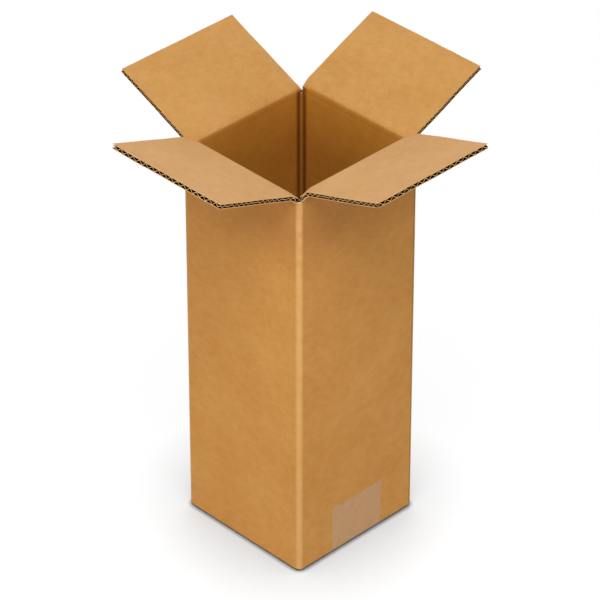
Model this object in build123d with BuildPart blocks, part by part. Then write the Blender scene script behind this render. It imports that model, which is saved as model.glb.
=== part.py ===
"""Tall open shipping box in single-wall corrugated board.

The frame has +Z up, the front wall facing -Y and its origin on the resting
plane, under the middle of the base. All sizes are millimetres and degrees.
"""

import os
from math import cos, radians, sin

from build123d import *

# Board: B flute, two liners and a wavy medium between them
board = 3.6
liner = 0.35
medium = 0.35
flute_pitch = 6.45
flute_round = 0.8

# Box, outside
box_length = 120.0
box_width = 120.0
score_height = 320.0
fold_radius = 4.0
bead_radius = 1.1
bead_inset = 0.45
groove_radius = 0.9
groove_offset = 2.9
flute_mouth_radius = 0.8
flute_mouth_depth = 4.0

# Top flaps
top_flap_length = 76.0
slot_setback = 5.2
slot_depth = 1.2
stack_gap = 0.2
front_angle = 70.5
right_angle = 72.0
back_angle = 66.0
left_angle = 66.0

# Creases between the walls and the top flaps
hinge_bead = 0.35
hinge_gap = 0.25
face_gap = 0.2
ledge_gap = 0.3
crush_length = 3.0

# Folded base, glue tab and tape
sheet_gap = 0.1
seam_gap = 0.5
base_fold_radius = 2.0
base_fold_height = 9.0
side_fold_lift = 0.6
climb_gap = 0.2
post_foot = 1.8
tab_width = 30.0
tab_thickness = 2.4
tab_end_gap = 14.0
tab_slant = 10.0
joint_line_width = 0.6
joint_line_depth = 1.5
tape_width = 50.8
tape_film = 0.06
tape_rise = 41.5

# Places worked out from the sizes above
half_length = box_length / 2
half_width = box_width / 2
level_step = board + stack_gap
ledge_drop = face_gap + board + ledge_gap
outer_flap_floor = tape_film
inner_flap_floor = outer_flap_floor + board + sheet_gap
ring_floor = side_fold_lift + base_fold_radius
ring_top = score_height - ledge_drop
side_reach = {"front": half_width, "back": half_width, "left": half_length, "right": half_length}
side_span = {"front": box_length, "back": box_length, "left": box_width, "right": box_width}
rest_angle = {"front": front_angle, "back": back_angle, "left": left_angle, "right": right_angle}
corners = [("right", "front"), ("right", "back"), ("left", "back"), ("left", "front")]
up = Vector(0, 0, 1)
outward = {
    "front": Vector(0, -1, 0),
    "back": Vector(0, 1, 0),
    "left": Vector(-1, 0, 0),
    "right": Vector(1, 0, 0),
}

# Score heights, one step each in the order in which the flaps shut and lie on each other
shut_order = ["left", "back", "front", "right"]
score = {side: score_height + step * level_step for step, side in enumerate(shut_order)}


def flap_width(side):
    """Width of a flap between its two slots."""
    return side_span[side] - 2 * slot_setback


def wall_plane(side, height):
    """Plane across a wall: x points outward from its outer face, y points up."""
    out = outward[side]
    return Plane(origin=out * side_reach[side] + up * height, x_dir=out, z_dir=out.cross(up))


def away(corner):
    """Signs of x and y at the corner that two neighbouring walls share."""
    direction = outward[corner[0]] + outward[corner[1]]
    return direction.X, direction.Y


def inner_corner(corner, inset):
    """Point on the diagonal of a corner, set in from the inner faces of its walls."""
    away_x, away_y = away(corner)
    return away_x * (half_length - board - inset), away_y * (half_width - board - inset)


def post_top(corner):
    """Height at which the slot over a vertical fold ends, just below the lower crease."""
    return min(score[corner[0]], score[corner[1]]) - slot_depth


def wall_ring():
    """Plan of the four walls: rounded folds outside, a scored bead inside each."""
    with BuildSketch(mode=Mode.PRIVATE) as ring:
        RectangleRounded(box_length, box_width, fold_radius)
        Rectangle(box_length - 2 * board, box_width - 2 * board, mode=Mode.SUBTRACT)
        for corner in corners:
            away_x, away_y = away(corner)
            edge_x, edge_y = inner_corner(corner, 0)
            with Locations((edge_x, edge_y - away_y * groove_offset), (edge_x - away_x * groove_offset, edge_y)):
                Circle(groove_radius, mode=Mode.SUBTRACT)
            with Locations(inner_corner(corner, bead_inset)):
                Circle(bead_radius)
    return ring.sketch


def corner_post(corner, ring, start, end):
    """A vertical fold carried on, up or down, to the end of its slot."""
    away_x, away_y = away(corner)
    with BuildSketch(Plane.XY.offset(start)) as post:
        add(ring)
        with Locations((away_x * half_length, away_y * half_width)):
            Rectangle(2 * slot_setback, 2 * slot_setback, mode=Mode.INTERSECT)
    extrude(post.sketch, amount=end - start)


def base_fold(side, foot, floor):
    """A bottom flap: round the foot of its wall, up to its own layer, then in to the base seam."""
    reach = side_reach[side] - seam_gap / 2
    rise = floor - foot
    with BuildSketch(wall_plane(side, foot)) as profile:
        with BuildLine():
            RadiusArc((-base_fold_radius, 0), (0, base_fold_radius), -base_fold_radius)
            Polyline(
                (0, base_fold_radius),
                (0, base_fold_height),
                (-board, base_fold_height),
                (-board, rise + board),
                (-reach, rise + board),
                (-reach, rise),
                (climb_gap - slot_setback, rise),
                (-base_fold_radius, 0),
            )
        make_face()
    extrude(profile.sketch, amount=flap_width(side) / 2, both=True)


def wall_head(side):
    """Top of a wall between its slots: a crushed ledge, and the liner that carries the flap."""
    foot = score[side] - ring_top + face_gap
    with BuildSketch(wall_plane(side, score[side])) as profile:
        Polygon(
            (0, 0),
            (-hinge_bead, 0),
            (-hinge_bead, -ledge_drop),
            (-board, -ledge_drop),
            (-board, -foot),
            (0, -foot),
            align=None,
        )
        Circle(hinge_bead)
    extrude(profile.sketch, amount=flap_width(side) / 2, both=True)


def glue_tab():
    """Tab of the back wall, glued to the inside of the right wall."""
    low = ring_floor + tab_end_gap
    high = score["right"] - ledge_drop - tab_end_gap
    edge = half_width - board
    with BuildSketch(Plane.YZ.offset(half_length - board)) as outline:
        Polygon(
            (edge, low),
            (edge, high),
            (edge - tab_width, high - tab_slant),
            (edge - tab_width, low + tab_slant),
            align=None,
        )
    extrude(outline.sketch, amount=-tab_thickness)


def joint_line():
    """Groove outside, where the cut edge of the right wall meets the fold of the tab."""
    with BuildSketch(Plane.XY.offset(post_foot)) as groove:
        with Locations((half_length, half_width - board)):
            Rectangle(2 * joint_line_depth, joint_line_width)
    extrude(groove.sketch, amount=score["right"], mode=Mode.SUBTRACT)


def flute_mouths(corner):
    """Open flute ends in the slots above and below a vertical fold."""
    with Locations(Plane.XY.offset(post_top(corner)), Plane.XY.offset(post_foot + flute_mouth_depth)):
        with Locations(inner_corner(corner, 0)):
            Hole(flute_mouth_radius, depth=flute_mouth_depth)


def flute_hollow():
    """Space between a liner and one wave of the medium, its round side towards the far liner."""
    depth = board - 2 * liner - medium
    mouth = flute_pitch - medium
    with BuildSketch(mode=Mode.PRIVATE) as hollow:
        Polygon((-mouth / 2, 0), (mouth / 2, 0), (0, depth), align=None)
        fillet(hollow.vertices().sort_by(Axis.Y)[-1], flute_round)
    return hollow.sketch


def flute_section(width):
    """End of a flap: two liners held apart by the wavy medium."""
    hollow = flute_hollow()
    count = int((width - liner) / flute_pitch)
    Rectangle(width, board, align=(Align.CENTER, Align.MIN))
    with Locations((0, liner)):
        with GridLocations(flute_pitch, 0, count, 1):
            add(hollow, mode=Mode.SUBTRACT)
    with Locations((0, board - liner)):
        with GridLocations(flute_pitch, 0, count - 1, 1):
            add(hollow, rotation=180, mode=Mode.SUBTRACT)


def flap_blade(side, along, inner, hinge):
    """The fluted length of a flap, from its crushed root to its cut end."""
    start = hinge + along * crush_length + inner * face_gap
    with BuildSketch(Plane(origin=start, x_dir=inner.cross(along), z_dir=along)) as section:
        flute_section(flap_width(side))
    extrude(section.sketch, amount=top_flap_length - crush_length)


def flap_root(side, along, inner, hinge):
    """The crushed strip of a flap beside its crease, thinning towards the hinge line."""
    tip = hinge_bead + hinge_gap
    with BuildSketch(Plane(origin=hinge, x_dir=along, z_dir=along.cross(inner))) as profile:
        Polygon(
            (tip, face_gap),
            (crush_length, face_gap),
            (crush_length, face_gap + board),
            (tip + 2 * liner, face_gap + board / 2),
            (tip, face_gap + 2 * liner),
            align=None,
        )
    extrude(profile.sketch, amount=flap_width(side) / 2, both=True)


def tape_line(side, film):
    """Half of the tape's path: flat, slanting up to the fold, round it, then up a wall."""
    lean = cos(radians(45))
    fold_x = half_length - base_fold_radius
    fold_z = side_fold_lift + base_fold_radius
    radius = base_fold_radius + film
    touch = (side * (fold_x + radius * lean), fold_z - radius * lean)
    foot_z = tape_film - film
    foot = (touch[0] - side * (touch[1] - foot_z), foot_z)
    Polyline((0, foot_z), foot, touch)
    RadiusArc(touch, (side * (fold_x + radius), fold_z), -side * radius)
    Line((side * (fold_x + radius), fold_z), (side * (fold_x + radius), tape_rise))


# The box itself is one sheet: walls, folded base and glue tab
with BuildPart() as box_body:
    walls = wall_ring()
    with BuildSketch(Plane.XY.offset(ring_floor)):
        add(walls)
    extrude(amount=ring_top - ring_floor)
    for side in ("front", "back"):
        base_fold(side, outer_flap_floor, outer_flap_floor)
    for side in ("left", "right"):
        base_fold(side, side_fold_lift, inner_flap_floor)
    for side in outward:
        wall_head(side)
    for corner in corners:
        corner_post(corner, walls, ring_floor, post_foot)
        corner_post(corner, walls, ring_top, post_top(corner))
    glue_tab()
    joint_line()
    for corner in corners:
        flute_mouths(corner)
box_body.part.label = "box_body"

# Clear tape runs along the base seam and up both side walls
with BuildPart() as bottom_tape:
    with BuildSketch(Plane.XZ):
        with BuildLine():
            for side in (-1, 1):
                tape_line(side, 0)
                tape_line(side, tape_film)
                Line((side * half_length, tape_rise), (side * (half_length + tape_film), tape_rise))
        make_face()
    extrude(amount=tape_width / 2, both=True)
bottom_tape.part.label = "bottom_tape"

os.makedirs("parts", exist_ok=True)
export_step(box_body.part, "parts/box_body.step")
export_step(bottom_tape.part, "parts/bottom_tape.step")

# Each top flap is swung to its resting angle about the hinge line on its wall
for side in outward:
    lean = radians(rest_angle[side])
    flap_along = up * cos(lean) + outward[side] * sin(lean)
    flap_inner = up * sin(lean) - outward[side] * cos(lean)
    hinge_point = outward[side] * side_reach[side] + up * score[side]
    with BuildPart() as top_flap:
        flap_blade(side, flap_along, flap_inner, hinge_point)
        flap_root(side, flap_along, flap_inner, hinge_point)
    top_flap.part.label = "flap_" + side
    export_step(top_flap.part, "parts/flap_" + side + ".step")
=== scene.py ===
"""Looks of the tall open shipping box, in kraft corrugated board with a taped base.

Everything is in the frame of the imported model: +Z up, front wall facing -Y. The board and the
tape are in millimetres. Materials, floor, lamps and the camera's place are in metres.
"""
from math import cos, pi, radians, sin

import bpy
import numpy as np
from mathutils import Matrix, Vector


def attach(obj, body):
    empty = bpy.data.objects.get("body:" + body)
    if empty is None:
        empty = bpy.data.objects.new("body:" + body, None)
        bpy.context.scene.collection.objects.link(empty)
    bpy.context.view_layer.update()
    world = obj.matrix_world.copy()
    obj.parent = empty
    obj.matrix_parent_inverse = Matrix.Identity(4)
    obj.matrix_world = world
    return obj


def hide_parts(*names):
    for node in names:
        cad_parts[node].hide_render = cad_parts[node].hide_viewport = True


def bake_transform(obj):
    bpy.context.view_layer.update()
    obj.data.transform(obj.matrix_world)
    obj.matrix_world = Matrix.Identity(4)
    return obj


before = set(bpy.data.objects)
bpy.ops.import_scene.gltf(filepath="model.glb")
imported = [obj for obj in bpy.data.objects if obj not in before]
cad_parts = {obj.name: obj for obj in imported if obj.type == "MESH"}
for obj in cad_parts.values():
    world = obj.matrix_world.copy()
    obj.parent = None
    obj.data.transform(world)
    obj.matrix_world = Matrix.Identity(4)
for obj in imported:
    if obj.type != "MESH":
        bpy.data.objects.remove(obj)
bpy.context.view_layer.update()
mm = 0.001
up = Vector((0, 0, 1))

# Camera, fitted to the photograph's lines, its lens and sensor in millimetres
camera_distance = 3.0
camera_azimuth = radians(45.55)
camera_elevation = radians(34.48)
camera_target = Vector((-0.46, 0.0, 187.5)) * mm
camera_lens = 244.8
camera_sensor = 36.0
camera_near = 0.1
camera_far = 50.0

# Board, as in the model
board = 3.6
liner = 0.42
medium = 0.46
flute_pitch = 6.45
half_side = 60.0
level_step = 3.8
score_height = 320.0
slot_setback = 5.2
flap_length = 76.0
face_gap = 0.2

# Each side's direction, the lean of its flap in degrees, and the step of its score
sides = {
    "left": (Vector((-1, 0, 0)), 66.0, 0),
    "back": (Vector((0, 1, 0)), 66.0, 1),
    "front": (Vector((0, -1, 0)), 70.5, 2),
    "right": (Vector((1, 0, 0)), 72.0, 3),
}

# Sides in the order in which they meet at the corners
around = ("front", "right", "back", "left")

# Crease on the wall: how far it stands off the solid, and heights from the score
skin = 0.05
strip_foot = -4.6
turn_foot = -1.4
score_dent = 1.3

# Crease on the flap: lengths from the score, and how far the crushed lip lies under the face
lip_start = -1.0
lip_drop = 0.5
outer_turn_end = 2.0
inner_turn_end = 2.2
blade_start = 4.0

# Rows of points along each stretch of a flap's section
wall_rows = 4
turn_rows = 15
lip_rows = 5
blade_rows = 31

# Handles that bend the crease's curves
wall_handle = -0.1
outer_handle = (0.1, 0.6)
outer_shift = (0.15, -0.1)
score_handle = (0.0, 0.5)
lip_handle = (1.0, 0.25)
blade_handle = 0.8

# Ends of a crease, which flare and droop into the slots: shares of the half width, then lengths
end_zone = (0.83, 1.02)
spread_rise = (-1.1, 0.6)
spread_fall = (1.4, 6.0)
outer_flare = 3.4
inner_flare = 1.2
slot_droop = 0.9
step_droop = 2.4

# Unevenness of a flap, its flutes and its cut edges
flap_columns = 209
blade_ease = 20.0
warp_height = 0.22
wash_height = 0.022
wave_shares = (0.62, 0.38)
sway_rate = 0.02
sway_share = 0.06
medium_margin = 0.3
ruffle_width = 2.2
ruffle_pitch = 5.2
ruffle_height = 0.85
ruffle_wander = 2.0
ruffle_reach = 6
side_cut = 0.16
end_cut = 0.14

# What each random cut adds to the seed of its flap
draws = {"left": 11, "right": 12, "end": 13, "ruffle": 17}

# Sum of turned waves that makes a surface uneven
ripple_waves = 5
ripple_turn = 1.7
ripple_turn_step = 2.4
ripple_rate = 0.035
ripple_rate_step = 0.022
ripple_fineness = 1.6
ripple_shift = 1.3
ripple_limit = 3.2

# Tape
tape_width = 50.8
tape_film = 0.06
tape_rise = 41.5
tape_floor = 0.02
tape_lift = 0.012
tape_fineness = 9
tape_draw = 3
tape_columns = 41
base_rows = 24
slant_shares = (0.25, 0.5, 0.75)
fold_rows = 7
rise_rows = 12
tooth_pitch = 1.1
tooth_depth = 0.28
base_fold_radius = 2.0
side_fold_lift = 0.6

# Noises: scale, detail, roughness, stretch and distortion
noises = {
    "cloud": (18.0, 3.0, 0.55, None, 0.0),
    "mottle": (120.0, 3.0, 0.6, (1.0, 1.0, 1.5), 0.0),
    "grain": (520.0, 3.0, 0.65, (0.5, 0.5, 1.6), 0.6),
    "fibre": (1500.0, 2.0, 0.6, (0.45, 0.45, 1.3), 1.5),
    "specks": (900.0, 1.0, 0.5, None, 0.0),
    "lint": (1100.0, 1.0, 0.5, (0.7, 0.7, 1.7), 2.0),
    "wander": (160.0, 3.0, 0.6, None, 0.0),
    "haze": (260.0, 3.0, 0.6, (1.0, 1.0, 0.5), 0.0),
    "streak": (90.0, 2.0, 0.5, (0.3, 3.0, 0.3), 0.0),
}
noise_middle = (0.3, 0.7)

# Papers: base, pale and dark display colours
papers = {
    "kraft_walls": ((219, 153, 72), (230, 169, 91), (202, 135, 57)),
    "kraft_flap": ((216, 159, 86), (227, 174, 106), (201, 141, 69)),
    # The medium's colour is painted near black, as the shade inside the flutes
    "kraft_medium_painted_shade": ((42, 24, 11), (54, 32, 15), (30, 17, 8)),
    "kraft_cut": ((240, 192, 130), (248, 208, 152), (216, 160, 98)),
}
speck_colour = (120, 82, 44)
lint_colour = (236, 200, 150)
fold_highlight_colour = (232, 178, 112)
top_colour = (232, 190, 132)
rim_colour = (250, 230, 200)
mouth_shade_colour = (30, 18, 9)

# Pulp of the paper: shares of the noises in its tone, and where specks and lint begin
tone_shares = {"cloud": 0.34, "mottle": 0.28, "grain": 0.26, "fibre": 0.22}
tone_range = (0.44, 0.67)
base_share = 0.45
speck_range = (0.735, 0.79)
speck_share = 0.45
lint_range = (0.74, 0.80)
lint_share = 0.35

# Surface of the paper: each bump is a strength and a height in metres
tooth_shares = {"grain": 0.6, "fibre": 0.4}
tooth_bump = (0.35, 0.00012)
mottle_swell = 0.25
swell_bump = (0.25, 0.0006)
flute_bump = (0.12, 0.00005)
paper_roughness = (0.54, 0.68)
paper_gloss = 0.18
paper_sheen = 0.06
sheen_roughness = 0.5
cut_gloss = 0.04

# Distances from the box's middle plane between which the painted shade and highlight lie
indoor_reach = 0.0573
groove_start = (0.0495, 0.0536)
groove_end = (0.0541, 0.0556)
fold_highlight_span = (0.0553, 0.0580)

# Heights between which the paper and its painted shade change
crease_fade = (0.3165, 0.3225)
root_fade = (0.3185, 0.3225)
flap_shadow_heights = (0.250, 0.308)
top_height = 0.3

# How unevenly and how strongly the painted highlight lies along the folds
fold_highlight_wander = (0.65, 1.0)
fold_highlight_share = 0.8

# How squarely a flat wall faces sideways, and a cut top upward
flat_facing = 0.98
top_facing = 0.9

# Flute mouths: their centre from the middle planes, and distances from that centre
mouth_centre = 0.0564
mouth_rim = (0.0020, 0.0023)
mouth_top = (0.00135, 0.0015)
mouth_bore = (0.00105, 0.00115)

# Tints that multiply the paper's colour: the wall's paper on a flap's root, and painted shade
inside_shade_tint = (0.84, 0.77, 0.34, 1.0)
root_tint = (1.0, 0.89, 0.65, 1.0)
groove_shade_tint = (0.36, 0.26, 0.12, 1.0)
painted_shadow_tint = (0.72, 0.66, 0.61, 1.0)

# Film of the tape
film_colours = ((194, 186, 163), (206, 198, 176))
film_veil = (0.32, 0.36)
haze_veil = 0.02
rim_veil = 0.10
film_rim = (0.0243, 0.0247)
film_roughness = (0.36, 0.44)
film_gloss = 0.35

# Floor: its size, its tone in the open and near the box, and the painted shadow round the box and right
# under it
floor_reach = 6.0
floor_near = (0.12, 0.32)
near_share = 0.135
sky_reach = 0.078
sky_samples = 2
sky_shadow_share = 0.66
contact_reach = 0.004
contact_samples = 3
contact_range = (0.40, 0.92)
contact_shadow_tone = 0.06
floor_grey = (0.5, 0.5, 0.5, 1.0)
floor_shadow = (0.215, 0.22, 0.225, 1.0)
white = (1.0, 1.0, 1.0, 1.0)
black = (0.0, 0.0, 0.0, 1.0)

# Lamps: azimuth, elevation, size and power
world_strength = 0.04
lamp_distance = 1.8
lamp_target = Vector((0.0, 0.0, 0.18))
lamps = {
    "overhead": (45.0, 85.0, 1.0, 1.7),
    "key": (45.0, 60.0, 0.8, 17.4),
    "behind": (225.0, 25.0, 1.2, 12.9),
    "left_fill": (0.0, 15.0, 1.0, 12.8),
    "right_fill": (90.0, 15.0, 1.0, 9.8),
}


def add_object(name, data):
    """An object of the scene for a mesh, a camera or a lamp."""
    thing = bpy.data.objects.new(name, data)
    bpy.context.scene.collection.objects.link(thing)
    return thing


def aim(thing, target, azimuth, elevation, distance):
    """Places a camera or a lamp in a direction from its target, looking at it."""
    level = cos(elevation)
    back = Vector((sin(azimuth) * level, -cos(azimuth) * level, sin(elevation)))
    thing.location = target + back * distance
    thing.rotation_mode = "QUATERNION"
    thing.rotation_quaternion = (-back).to_track_quat("-Z", "Y")


def make_camera():
    """The photograph's view of the box."""
    data = bpy.data.cameras.new("photo_camera")
    data.sensor_width = camera_sensor
    data.lens = camera_lens
    data.clip_start = camera_near
    data.clip_end = camera_far
    thing = add_object("photo_camera", data)
    aim(thing, camera_target, camera_azimuth, camera_elevation, camera_distance)
    bpy.context.scene.camera = thing


class Tree:
    """Short ways to fill the node tree of a material or a world."""

    def __init__(self, owner):
        owner.use_nodes = True
        owner.node_tree.nodes.clear()
        self.nodes = owner.node_tree.nodes
        self.links = owner.node_tree.links

    def put(self, socket, value):
        """Links an output to a socket, or writes a number or a colour on it."""
        if hasattr(value, "is_output"):
            self.links.new(value, socket)
        else:
            socket.default_value = value

    def add(self, kind, inputs, **settings):
        """A node with its settings, and its inputs by name or number."""
        node = self.nodes.new(kind)
        for key, value in settings.items():
            setattr(node, key, value)
        for key, value in inputs.items():
            self.put(node.inputs[key], value)
        return node

    def math(self, operation, *values):
        return self.add("ShaderNodeMath", dict(enumerate(values)), operation=operation).outputs[0]

    def total(self, first, *others):
        for other in others:
            first = self.math("ADD", first, other)
        return first

    def product(self, first, *others):
        for other in others:
            first = self.math("MULTIPLY", first, other)
        return first

    def less(self, value):
        """What is left of 1."""
        return self.math("SUBTRACT", 1.0, value)

    def ramp(self, value, span, start=0.0, end=1.0, eased=True):
        """Goes from start to end while a value goes over a span."""
        low, high = span
        inputs = {"Value": value, "From Min": low, "From Max": high, "To Min": start, "To Max": end}
        kind = "SMOOTHSTEP" if eased else "LINEAR"
        node = self.add("ShaderNodeMapRange", inputs, clamp=True, interpolation_type=kind)
        return node.outputs["Result"]

    def fade(self, value, span):
        """Goes from 1 to 0 while a value goes over a span."""
        return self.ramp(value, span, 1.0, 0.0)

    def place(self, attribute=None):
        """Place of a point on its object, or the one that an attribute holds."""
        if attribute:
            return self.add("ShaderNodeAttribute", {}, attribute_name=attribute).outputs["Vector"]
        return self.add("ShaderNodeTexCoord", {}).outputs["Object"]

    def parts(self, vector):
        """The x, y and z of a vector."""
        return tuple(self.add("ShaderNodeSeparateXYZ", {0: vector}).outputs)

    def noise(self, place, name):
        """One of the named noises."""
        scale, detail, roughness, stretch, distortion = noises[name]
        if stretch:
            place = self.add("ShaderNodeVectorMath", {0: place, 1: stretch}, operation="MULTIPLY").outputs[0]
        inputs = {"Vector": place, "Scale": scale, "Detail": detail}
        inputs.update({"Roughness": roughness, "Distortion": distortion})
        return self.add("ShaderNodeTexNoise", inputs).outputs["Fac"]

    def mix(self, factor, first, second, blend="MIX"):
        """Mix of two colours, which a mix node takes as its inputs 6 and 7 and gives as output 2."""
        inputs = {"Factor": factor, 6: first, 7: second}
        return self.add("ShaderNodeMix", inputs, data_type="RGBA", blend_type=blend).outputs[2]

    def tinted(self, factor, colour, tint):
        """A colour multiplied by a tint, as far as the factor says."""
        return self.mix(factor, colour, self.mix(1.0, colour, tint, "MULTIPLY"))

    def bump(self, height, size, normal=None):
        strength, distance = size
        inputs = {"Height": height, "Strength": strength, "Distance": distance}
        if normal is not None:
            inputs["Normal"] = normal
        return self.add("ShaderNodeBump", inputs).outputs["Normal"]

    def open_sky(self, reach, samples):
        """Share of the sky that nothing within reach covers."""
        node = self.add("ShaderNodeAmbientOcclusion", {"Distance": reach}, samples=samples)
        return node.outputs["AO"]

    def choose_seen(self, unseen, seen):
        """One shader for the light, and one for what is seen straight, in a gloss or through a film."""
        path = self.add("ShaderNodeLightPath", {}).outputs
        shown = self.math("MAXIMUM", path["Is Camera Ray"], path["Is Glossy Ray"])
        shown = self.math("MAXIMUM", shown, path["Is Transmission Ray"])
        return self.add("ShaderNodeMixShader", {0: shown, 1: unseen, 2: seen}).outputs[0]

    def show(self, shader, kind="ShaderNodeOutputMaterial"):
        self.add(kind, {"Surface": shader})


def new_material(name):
    """An empty node material and its tree."""
    material = bpy.data.materials.new(name)
    return material, Tree(material)


def linear(colour):
    """Scene colour of an 8-bit display colour, by the usual display curve."""
    shares = [channel / 255 for channel in colour]
    return tuple(((c + 0.055) / 1.055) ** 2.4 if c > 0.04045 else c / 12.92 for c in shares) + (1.0,)


class Spot:
    """Where a point of the paper is on the box."""

    def __init__(self, tree, place):
        self.x, self.y, self.z = tree.parts(place)
        self.across_x = tree.math("ABSOLUTE", self.x)
        self.across_y = tree.math("ABSOLUTE", self.y)
        self.fold = tree.math("MINIMUM", self.across_x, self.across_y)
        reach = tree.math("MAXIMUM", self.across_x, self.across_y)
        self.indoors = tree.math("LESS_THAN", reach, indoor_reach)


def pulp_colour(tree, place, layers, name):
    """Cloudy colour of the pulp, with dark specks and pale lint."""
    base, pale, dark = (linear(colour) for colour in papers[name])
    tone = tree.total(*(tree.product(layers[layer], share) for layer, share in tone_shares.items()))
    colour = tree.mix(tree.ramp(tone, tone_range, eased=False), dark, pale)
    colour = tree.mix(base_share, colour, base)
    specks = tree.ramp(tree.noise(place, "specks"), speck_range, 0.0, speck_share)
    colour = tree.mix(specks, colour, linear(speck_colour))
    lint = tree.ramp(tree.noise(place, "lint"), lint_range, 0.0, lint_share)
    return tree.mix(lint, colour, linear(lint_colour))


def placed_colour(tree, spot, colour, walls):
    """Painted shade: the inside of the box darker and more saturated, dark grooves beside the folds, and a
    soft painted shadow under the flaps.
    """
    # Painted shade inside the box, darker and more saturated, fading out at the crease
    inside_shade = tree.product(spot.indoors, tree.fade(spot.z, crease_fade))
    colour = tree.tinted(inside_shade, colour, inside_shade_tint)
    # Painted shade in the grooves beside the folds inside the box
    groove_shade = tree.product(tree.ramp(spot.fold, groove_start), tree.fade(spot.fold, groove_end), spot.indoors)
    # Painted shadow of the flaps on the top of the outer walls
    painted_shadow = tree.product(tree.ramp(spot.z, flap_shadow_heights), tree.less(spot.indoors))
    if not walls:
        root = tree.fade(spot.z, root_fade)
        groove_shade = tree.product(groove_shade, root)
        painted_shadow = tree.product(painted_shadow, root)
        colour = tree.tinted(root, colour, root_tint)
    colour = tree.tinted(groove_shade, colour, groove_shade_tint)
    return tree.tinted(painted_shadow, colour, painted_shadow_tint)


def flute_ridges(tree, spot, facing, normal):
    """Faint ridges of the flutes that show through the liners of the walls."""
    ridges = []
    for along, face in ((spot.y, facing[0]), (spot.x, facing[1])):
        wave = tree.math("COSINE", tree.product(along, 2 * pi / (flute_pitch * mm)))
        flat = tree.math("GREATER_THAN", tree.math("ABSOLUTE", face), flat_facing)
        ridges.append(tree.product(wave, flat))
    return tree.bump(tree.total(*ridges), flute_bump, normal)


def wall_marks(tree, place, spot, facing, colour):
    """Painted highlight along the folds, pale cut tops, and painted shade in the mouths of the flutes in the
    slots, with a pale rim.
    """
    # Painted highlight along the vertical folds, made uneven by a noise
    wander = tree.ramp(tree.noise(place, "wander"), noise_middle, *fold_highlight_wander)
    fold_highlight = tree.product(tree.ramp(spot.fold, fold_highlight_span), wander, fold_highlight_share)
    colour = tree.mix(fold_highlight, colour, linear(fold_highlight_colour))
    top = tree.math("GREATER_THAN", facing[2], top_facing)
    top = tree.product(top, tree.math("GREATER_THAN", spot.z, top_height))
    colour = tree.mix(top, colour, linear(top_colour))
    off_x = tree.math("POWER", tree.math("SUBTRACT", spot.across_x, mouth_centre), 2.0)
    off_y = tree.math("POWER", tree.math("SUBTRACT", spot.across_y, mouth_centre), 2.0)
    mouth = tree.math("SQRT", tree.total(off_x, off_y))
    rim = tree.product(tree.fade(mouth, mouth_rim), top)
    colour = tree.mix(rim, colour, linear(rim_colour))
    # Painted shade in and round the mouths of the flutes
    mouth_shade = tree.product(tree.fade(mouth, mouth_top), top)
    mouth_shade = tree.math("MAXIMUM", mouth_shade, tree.fade(mouth, mouth_bore))
    return tree.mix(mouth_shade, colour, linear(mouth_shade_colour))


def kraft(name, walls=False, cut=False):
    """Unbleached kraft paper: cloudy pulp, short fibres, specks and a fine tooth, with painted shade and
    highlight by place.
    """
    material, tree = new_material(name)
    place = tree.place() if walls else tree.place("place")
    layers = {layer: tree.noise(place, layer) for layer in tone_shares}
    spot = Spot(tree, place)
    colour = placed_colour(tree, spot, pulp_colour(tree, place, layers, name), walls)
    tooth = tree.total(*(tree.product(layers[layer], share) for layer, share in tooth_shares.items()))
    normal = tree.bump(tooth, tooth_bump)
    swell = tree.total(layers["cloud"], tree.product(layers["mottle"], mottle_swell))
    normal = tree.bump(swell, swell_bump, normal)
    if walls:
        facing = tree.parts(tree.add("ShaderNodeNewGeometry", {}).outputs["True Normal"])
        normal = flute_ridges(tree, spot, facing, normal)
        colour = wall_marks(tree, place, spot, facing, colour)
    inputs = {
        "Base Color": colour,
        "Roughness": tree.ramp(layers["grain"], noise_middle, *paper_roughness, eased=False),
        "Normal": normal,
        "Specular IOR Level": cut_gloss if cut else paper_gloss,
        "Sheen Weight": 0.0 if cut else paper_sheen,
        "Sheen Roughness": sheen_roughness,
    }
    tree.show(tree.add("ShaderNodeBsdfPrincipled", inputs).outputs[0])
    return material


def tape_material():
    """Clear packing tape: a thin pale film with a satin face."""
    material, tree = new_material("packing_film")
    place = tree.place("place")
    haze = tree.noise(place, "haze")
    veil = tree.ramp(haze, noise_middle, 0.0, haze_veil)
    veil = tree.total(veil, tree.ramp(tree.noise(place, "streak"), noise_middle, *film_veil))
    across = tree.math("ABSOLUTE", tree.parts(place)[1])
    dark, pale = (linear(colour) for colour in film_colours)
    inputs = {
        "Base Color": tree.mix(tree.ramp(haze, noise_middle), dark, pale),
        "Alpha": tree.total(veil, tree.ramp(across, film_rim, 0.0, rim_veil)),
        "Roughness": tree.ramp(haze, noise_middle, *film_roughness),
        "Specular IOR Level": film_gloss,
    }
    tree.show(tree.add("ShaderNodeBsdfPrincipled", inputs).outputs[0])
    return material


def ripple(across, along, seed):
    """Smooth unevenness of a surface, mostly between -1 and 1."""
    total = np.zeros(np.broadcast(across, along).shape)
    for wave in range(ripple_waves):
        angle = seed * ripple_turn + wave * ripple_turn_step
        rate = ripple_rate + ripple_rate_step * wave
        run = across * np.cos(angle) + along * np.sin(angle)
        total = total + np.sin(rate * run * ripple_fineness + seed + wave * ripple_shift)
    return total / ripple_limit


def jitter(count, seed, reach=4):
    """Seeded, lightly smoothed noise along a cut, from -1 to 1."""
    rough = np.random.default_rng(seed).uniform(-1.0, 1.0, count + 2 * reach)
    kernel = np.hanning(reach + 2)[1:-1]
    return np.convolve(rough, kernel / kernel.sum(), mode="same")[reach : reach + count]


def smooth_step(value, span):
    """Smooth step from 0 to 1 while a value goes over a span."""
    low, high = span
    share = np.clip((value - low) / (high - low), 0.0, 1.0)
    return share * share * (3 - 2 * share)


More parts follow.
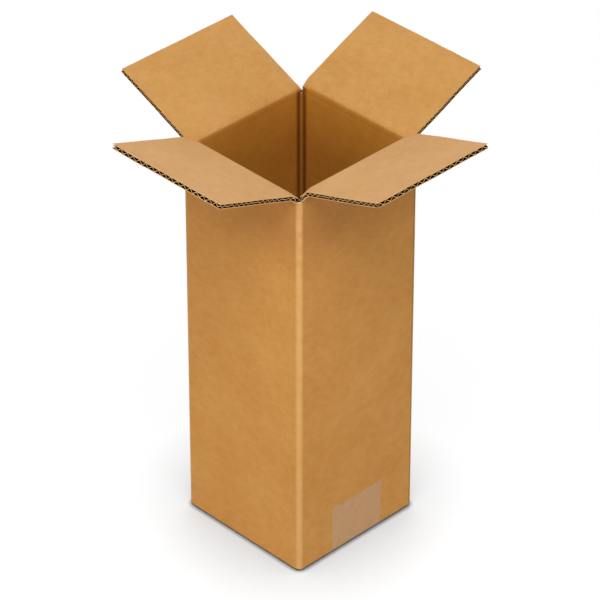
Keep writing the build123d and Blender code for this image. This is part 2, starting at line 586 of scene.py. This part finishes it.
def flute_wave(turns):
    """Rounded wave of the medium, from -1 to 1."""
    sharp = 2 * np.abs(2 * ((turns + 0.25) % 1.0) - 1) - 1
    sharp_share, round_share = wave_shares
    return sharp_share * sharp + round_share * np.sin(2 * pi * (turns + 0.5))


def travel_along(line):
    """Distance along a line at each of its points."""
    return np.concatenate([[0], np.cumsum(np.linalg.norm(np.diff(line, axis=0), axis=1))])


def bezier(first, second, third, fourth, steps):
    """Points of a cubic curve in the crease's cross-section."""
    first, second, third, fourth = (np.array(point, float) for point in (first, second, third, fourth))
    share = np.linspace(0, 1, steps)[:, None]
    rest = 1 - share
    line = first * rest**3 + 3 * second * share * rest**2
    return line + 3 * third * share * share * rest + fourth * share**3


class Layers:
    """Vertices, faces and material numbers gathered from several sheets."""

    def __init__(self):
        self.points = []
        self.places = []
        self.faces = []
        self.numbers = []
        self.count = 0

    def grid(self, points, places, number, flip=False):
        rows, columns = points.shape[:2]
        index = self.count + np.arange(rows * columns).reshape(rows, columns)
        corners = [index[:-1, :-1], index[:-1, 1:], index[1:, 1:], index[1:, :-1]]
        quads = np.stack(corners, axis=-1).reshape(-1, 4)
        if flip:
            quads = quads[:, ::-1]
        self.points.append(points.reshape(-1, 3))
        self.places.append(places.reshape(-1, 3))
        self.faces.append(quads)
        self.numbers.append(np.full(len(quads), number))
        self.count += rows * columns

    def sheet(self, outer, inner, numbers):
        """A thin closed sheet between two faces, each its points and places, cut all round."""
        outer_number, inner_number, cut_number = numbers
        self.grid(*outer, outer_number)
        self.grid(*inner, inner_number, flip=True)
        edges = ((np.s_[0, :], False), (np.s_[-1, :], True), (np.s_[:, 0], True), (np.s_[:, -1], False))
        for pick, turned in edges:
            strip, places = (np.stack([low[pick], high[pick]]) for low, high in zip(inner, outer))
            self.grid(strip, places, cut_number, turned)

    def build(self, name, materials):
        """The piece that all the sheets make."""
        mesh = bpy.data.meshes.new(name)
        points = np.concatenate(self.points) * mm
        faces = np.concatenate(self.faces)
        mesh.from_pydata(points.tolist(), [], faces.tolist())
        places = (np.concatenate(self.places) * mm).astype(np.float32)
        mesh.attributes.new("place", "FLOAT_VECTOR", "POINT").data.foreach_set("vector", places.ravel())
        for material in materials:
            mesh.materials.append(material)
        mesh.polygons.foreach_set("material_index", np.concatenate(self.numbers).astype(np.int32))
        mesh.polygons.foreach_set("use_smooth", np.ones(len(faces), bool))
        mesh.update()
        return add_object(name, mesh)


def flap_paths(lean):
    """Matching rows of the board's faces, up the wall, round the crease and along the flap."""
    along = np.array((sin(lean), cos(lean)))
    inward = np.array((-cos(lean), sin(lean)))
    wall = np.linspace(strip_foot, turn_foot, wall_rows + 1)[:-1]
    outer_wall = np.stack([np.full(wall_rows, skin), wall], axis=1)
    inner_wall = np.stack([np.full(wall_rows, -board - skin), wall], axis=1)

    outer_foot = np.array((skin, turn_foot))
    outer_end = along * outer_turn_end + inward * face_gap
    bulge = along * outer_handle[0] - inward * outer_handle[1] + np.array(outer_shift)
    outer_turn = bezier(outer_foot, (skin, wall_handle), bulge, outer_end, turn_rows)

    inner_foot = np.array((-board - skin, turn_foot))
    inner_end = along * inner_turn_end + inward * (face_gap + board)
    dent = np.array((-board - skin, score_dent))
    lip = along * lip_start + inward * (face_gap + board - lip_drop)
    after_lip = lip + along * lip_handle[0] + inward * lip_handle[1]
    inner_low = bezier(inner_foot, dent, dent + score_handle, lip, turn_rows - lip_rows + 1)
    inner_high = bezier(lip, after_lip, inner_end - along * blade_handle, inner_end, lip_rows)

    reach = np.linspace(blade_start, flap_length, blade_rows)[:, None]
    outer_blade = reach * along + inward * face_gap
    inner_blade = reach * along + inward * (face_gap + board)
    outer = np.concatenate([outer_wall, outer_turn, outer_blade])
    inner = np.concatenate([inner_wall, inner_low, inner_high[1:], inner_blade])
    return outer, inner


def slot_drops(side):
    """How far the two ends of a crease droop into their slots, towards a lower neighbour."""
    step = sides[side][2]
    turn = around.index(side)
    neighbours = (around[turn - 1], around[(turn + 1) % len(around)])
    return [slot_droop + max(0, step - sides[neighbour][2]) * step_droop for neighbour in neighbours]


def make_flap(side, seed):
    """A top flap in three layers, joined to its wall round a crushed crease."""
    out, lean, step = sides[side]
    score = score_height + step * level_step
    span = np.array(up.cross(out))
    out = np.array(out)
    rise = np.array(up)
    outer, inner = flap_paths(radians(lean))
    rows = len(outer)
    width = 2 * (half_side - slot_setback)
    across = np.linspace(-width / 2, width / 2, flap_columns)
    stretch = np.linspace(0.0, 1.0, flap_columns)
    travel = travel_along((outer + inner) / 2) + strip_foot
    depth = inner - outer
    thick = np.linalg.norm(depth, axis=1)
    facing = depth / thick[:, None]
    loose = np.clip((travel - blade_start) / blade_ease, 0.0, 1.0)[:, None]

    left_cut = jitter(rows, seed + draws["left"])[:, None] * side_cut
    right_cut = jitter(rows, seed + draws["right"])[:, None] * side_cut
    blade_run = outer[-1] - outer[-2]
    blade_run = blade_run / np.linalg.norm(blade_run)
    tip_cut = np.zeros((rows, flap_columns, 1))
    tip_cut[-1, :, 0] = jitter(flap_columns, seed + draws["end"]) * end_cut

    near_end = smooth_step(np.abs(2 * stretch - 1), end_zone)
    spread = (smooth_step(travel, spread_rise) * (1 - smooth_step(travel, spread_fall)))[:, None]
    flare = np.sign(stretch - 0.5) * near_end * spread
    droop = near_end * np.where(stretch < 0.5, *slot_drops(side)) * spread

    def face(share, shrink, offset):
        """Points and texture places of a face, share of the way through the board."""
        shifted = across * shrink + (1 - stretch) * left_cut + stretch * right_cut
        shifted = shifted + flare * (outer_flare + (inner_flare - outer_flare) * share)
        warp = ripple(shifted, travel[:, None], seed) * warp_height * loose + offset
        section = outer[:, None, :] + depth[:, None, :] * share[..., None]
        section = section + facing[:, None, :] * warp[..., None] + tip_cut * blade_run
        section[..., 1] -= droop
        sideways = span * shifted[..., None]
        points = out * (half_side + section[..., :1]) + rise * (score + section[..., 1:]) + sideways
        height = score_height + travel[:, None, None] + tip_cut
        places = out * (half_side - share * board)[..., None] + rise * height + sideways
        return points, places

    sway = np.sin(travel[:, None] * sway_rate + seed) * sway_share
    wave = flute_wave(across / flute_pitch + sway)
    wash = wash_height * wave * loose
    whole = np.ones((rows, flap_columns))
    film = (liner / thick)[:, None] * whole
    layers = Layers()
    layers.sheet(face(0 * whole, 1.0, wash), face(film, 1.0, wash), (0, 1, 2))
    layers.sheet(face(1 - film, 1.0, wash), face(whole, 1.0, wash), (1, 0, 2))

    edge = np.minimum(stretch, 1 - stretch) * width
    ruffled = np.clip(1 - edge / ruffle_width, 0, 1)
    wander = ruffle_wander * jitter(rows, seed + draws["ruffle"], ruffle_reach)
    ruffle = np.sin(travel * 2 * pi / ruffle_pitch + wander + seed)[:, None]
    wave = wave * (1 - ruffled) + ruffle * ruffle_height * ruffled
    middle = 0.5 + wave * ((thick - 2 * liner - medium) / 2 / thick)[:, None]
    half_sheet = (medium / 2 / thick)[:, None]
    shrink = 1 - medium_margin / width
    layers.sheet(face(middle - half_sheet, shrink, 0.0), face(middle + half_sheet, shrink, 0.0), (1, 1, 2))

    piece = layers.build("flap_" + side + "_board", [kraft_flap, kraft_medium_painted_shade, kraft_cut])
    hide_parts("flap_" + side)
    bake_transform(piece)


def tape_path():
    """Middle line of half the tape: along the base, past the cut flaps, round the fold and up."""
    lean = sin(radians(45))
    radius = base_fold_radius + tape_film
    fold_x = half_side - base_fold_radius
    fold_z = side_fold_lift + base_fold_radius
    touch = (fold_x + radius * lean, fold_z - radius * lean)
    foot = (touch[0] - touch[1] + tape_floor, tape_floor)
    line = [(x, tape_floor) for x in np.linspace(0, foot[0], base_rows)]
    for share in slant_shares:
        line.append((foot[0] + (touch[0] - foot[0]) * share, foot[1] + (touch[1] - foot[1]) * share))
    for turn in np.linspace(radians(-45), 0, fold_rows):
        line.append((fold_x + radius * cos(turn), fold_z + radius * sin(turn)))
    top = line[-1][1]
    line += [(fold_x + radius, z) for z in np.linspace(top, tape_rise, rise_rows)[1:]]
    return np.array(line)


def make_tape():
    """One strip of clear tape, stuck under the base and up both side walls."""
    half = tape_path()
    line = np.concatenate([half[::-1] * (-1, 1), half[1:]])
    across = np.linspace(-tape_width / 2, tape_width / 2, tape_columns)
    travel = travel_along(line)[:, None]
    lift = tape_lift * (ripple(across * tape_fineness, travel * tape_fineness, tape_draw) + 1)
    outward = np.sign(line[:, 0:1]) * (line[:, 1:2] > side_fold_lift + base_fold_radius)
    tooth = np.zeros((len(line), tape_columns))
    tooth[[0, -1], :] = tooth_depth * np.abs(((across / tooth_pitch) % 1.0) - 0.5)
    points = np.zeros((len(line), tape_columns, 3))
    points[..., 0] = line[:, 0:1] + outward * lift
    points[..., 1] = across
    points[..., 2] = line[:, 1:2] - tooth
    layers = Layers()
    layers.grid(points, points, 0)
    piece = layers.build("bottom_tape_film", [packing_film])
    piece.visible_shadow = False
    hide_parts("bottom_tape")
    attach(piece, "box")


def floor_material():
    """White floor that is seen with the box's shadow and a painted shadow round its base, and is grey to the
    light.
    """
    material, tree = new_material("studio_white")
    distance = tree.add("ShaderNodeVectorMath", {0: tree.place()}, operation="LENGTH")
    near = tree.fade(distance.outputs["Value"], floor_near)
    # Painted shadow from ambient occlusion: a wide soft one round the box and a dark line where it stands
    contact_shadow = tree.ramp(tree.open_sky(contact_reach, contact_samples), contact_range, contact_shadow_tone, 1.0)
    painted_shadow = tree.product(tree.less(tree.open_sky(sky_reach, sky_samples)), sky_shadow_share)
    tone = tree.math("SUBTRACT", tree.less(painted_shadow), tree.product(near, near_share))
    matte = tree.add("ShaderNodeBsdfDiffuse", {"Color": floor_grey})
    shadow_colour = tree.mix(tree.product(near, contact_shadow), black, floor_shadow)
    shadow = tree.add("ShaderNodeBsdfDiffuse", {"Color": shadow_colour})
    glow = tree.add("ShaderNodeEmission", {"Color": white, "Strength": tree.product(tone, contact_shadow)})
    seen = tree.add("ShaderNodeAddShader", {0: shadow.outputs[0], 1: glow.outputs[0]})
    tree.show(tree.choose_seen(matte.outputs[0], seen.outputs[0]))
    return material


def make_floor():
    """Pale floor that keeps the box's shadow, has a painted shadow round its base, and fades to the white
    background.
    """
    mesh = bpy.data.meshes.new("studio_floor")
    low, high = -floor_reach, floor_reach
    corners = [(low, low, 0), (high, low, 0), (high, high, 0), (low, high, 0)]
    mesh.from_pydata(corners, [], [(0, 1, 2, 3)])
    mesh.materials.append(floor_material())
    thing = add_object("studio_floor", mesh)


def make_world():
    """White surroundings: faint for the light, plain white where seen."""
    world = bpy.data.worlds.new("studio_world")
    bpy.context.scene.world = world
    tree = Tree(world)
    faint = tree.add("ShaderNodeBackground", {"Color": white, "Strength": world_strength})
    plain = tree.add("ShaderNodeBackground", {"Color": white, "Strength": 1.0})
    tree.show(tree.choose_seen(faint.outputs[0], plain.outputs[0]), "ShaderNodeOutputWorld")


def make_lamp(name, azimuth, elevation, size, power):
    """A square lamp that looks at the middle of the box."""
    data = bpy.data.lights.new(name, "AREA")
    data.shape = "SQUARE"
    data.size = size
    data.energy = power
    aim(add_object(name, data), lamp_target, radians(azimuth), radians(elevation), lamp_distance)


bpy.context.scene.view_settings.view_transform = "Standard"
make_camera()

kraft_walls = kraft("kraft_walls", walls=True)
kraft_flap = kraft("kraft_flap")
kraft_medium_painted_shade = kraft("kraft_medium_painted_shade", cut=True)
kraft_cut = kraft("kraft_cut", cut=True)
packing_film = tape_material()

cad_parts["box_body"].data.materials.clear()
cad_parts["box_body"].data.materials.append(kraft_walls)

for seed, side in enumerate(sides, 1):
    make_flap(side, seed)
make_tape()

make_floor()
make_world()
for name, settings in lamps.items():
    make_lamp(name, *settings)
